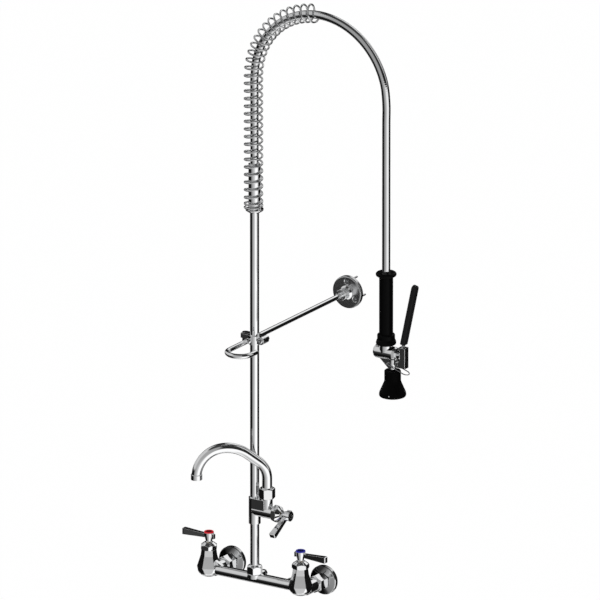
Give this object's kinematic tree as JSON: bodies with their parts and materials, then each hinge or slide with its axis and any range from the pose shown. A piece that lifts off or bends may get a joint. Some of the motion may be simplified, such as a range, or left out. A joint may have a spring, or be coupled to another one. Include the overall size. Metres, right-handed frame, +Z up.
{
  "type": "pre-rinse faucet",
  "caption": "Wall-mounted pre-rinse faucet: two lever valves, riser with swing spout, hose arch in an overhead spring, wall bracket and squeeze-lever spray valve.",
  "frame": {"origin": "halfway between the two supply inlets, in the plane of the wall", "axes": "+X along the wall towards the cold valve, +Y into the wall, +Z up the riser"},
  "size_m": [0.5174, 0.4794, 1.18],
  "materials": {
    "chrome": "polished chrome plate on brass",
    "spring_steel": "bright drawn wire",
    "hose_steel": "smooth bright stainless sheath",
    "steel": "machined stainless steel",
    "brass": "machined",
    "black_rubber": "smooth black rubber",
    "black_grip": "black moulded plastic",
    "black_coating": "dipped black vinyl",
    "red_index": "glossy red",
    "blue_index": "glossy dark blue",
    "black_index": "glossy black"
  },
  "bodies": {
    "faucet": {"faucet_body": "chrome", "hot_cartridge": "brass", "cold_cartridge": "brass", "hot_bonnet": "chrome", "cold_bonnet": "chrome", "hot_union_nut": "chrome", "cold_union_nut": "chrome", "hot_inlet_arm": "chrome", "cold_inlet_arm": "chrome", "hot_wall_flange": "chrome", "cold_wall_flange": "chrome", "union_washers": "black_rubber", "body_plug": "chrome", "riser_nut": "chrome", "lower_riser": "chrome", "spout_tee": "chrome", "tee_cartridge": "brass", "tee_bonnet": "chrome", "upper_riser": "chrome", "spout_nut": "chrome", "hose_washer": "black_rubber", "hose_coupling": "chrome", "hose": "hose_steel", "spring_seat": "chrome", "overhead_spring": "spring_steel"},
    "hot_valve": {"hot_stem": "brass", "hot_handle": "chrome", "hot_handle_screw": "steel", "hot_index_button": "red_index"},
    "cold_valve": {"cold_stem": "brass", "cold_handle": "chrome", "cold_handle_screw": "steel", "cold_index_button": "blue_index"},
    "tee_valve": {"tee_stem": "brass", "tee_handle": "chrome", "tee_handle_screw": "steel", "tee_index_button": "black_index"},
    "spout": {"spout_tube": "chrome", "spout_bushing": "black_rubber", "outlet_collar": "chrome", "outlet_screen": "steel"},
    "clamp": {"clamp_front": "chrome", "clamp_rear": "chrome", "clamp_screw": "steel"},
    "bracket": {"bracket_rod": "chrome", "bracket_hub": "chrome", "wall_plate": "chrome", "bracket_screws": "steel"},
    "hose_end": {"hose_end_fitting": "steel"},
    "spray_valve": {"grip_sleeve": "black_grip", "spray_body": "chrome", "spray_bonnet": "chrome", "bumper": "black_rubber", "spray_face": "steel", "pivot_pin": "steel", "plunger_spring": "steel"},
    "squeeze_handle": {"squeeze_lever": "chrome", "lever_grip": "black_coating"},
    "plunger": {"plunger": "steel"},
    "hold_ring": {"hold_ring": "spring_steel"}
  },
  "joints": [
    {"name": "hot_turn", "type": "hinge", "parent": "faucet", "child": "hot_valve", "pos_m": [-0.1016, -0.084, 0.06], "axis": [0, 0, 1], "range_deg": [0, 90]},
    {"name": "cold_turn", "type": "hinge", "parent": "faucet", "child": "cold_valve", "pos_m": [0.1016, -0.084, 0.06], "axis": [0, 0, 1], "range_deg": [-90, 0]},
    {"name": "tee_turn", "type": "hinge", "parent": "faucet", "child": "tee_valve", "pos_m": [0.06, -0.084, 0.143], "axis": [1, 0, 0], "range_deg": [-90, 0]},
    {"name": "spout_swing", "type": "hinge", "parent": "faucet", "child": "spout", "pos_m": [0.0275, -0.084, 0.18], "axis": [0, 0, 1], "range_deg": [0, 268]},
    {"name": "clamp_height", "type": "slide", "parent": "faucet", "child": "clamp", "axis": [0, 0, 1], "range_m": [-0.16, 0.23]},
    {"name": "bracket_slide", "type": "slide", "parent": "clamp", "child": "bracket", "axis": [0, 1, 0], "range_m": [-0.261, 0]},
    {"name": "spray_swing", "type": "hinge", "parent": "faucet", "child": "hose_end", "pos_m": [0.29, -0.084, 0.9], "axis": [1, 0, 0], "range_deg": [-18, 18], "deforming": ["hose"]},
    {"name": "spray_turn", "type": "hinge", "parent": "hose_end", "child": "spray_valve", "pos_m": [0.29, -0.084, 0.6], "axis": [0, 0, 1], "range_deg": [-180, 180]},
    {"name": "lever_squeeze", "type": "hinge", "parent": "spray_valve", "child": "squeeze_handle", "pos_m": [0.317, -0.084, 0.4855], "axis": [0, -1, 0], "range_deg": [0, 12], "stiffness_Nm_per_rad": 1.5, "springref_deg": -6.88},
    {"name": "plunger_press", "type": "slide", "parent": "spray_valve", "child": "plunger", "axis": [-1, 0, 0], "range_m": [0, 0.0039], "deforming": ["plunger_spring"]},
    {"name": "ring_lift", "type": "hinge", "parent": "spray_valve", "child": "hold_ring", "pos_m": [0.295, -0.084, 0.484], "axis": [0, -1, 0], "range_deg": [0, 15]}
  ],
  "couplings": [
    {"joint": "plunger_press", "follows": "lever_squeeze", "m_per_rad": 0.0178}
  ]
}
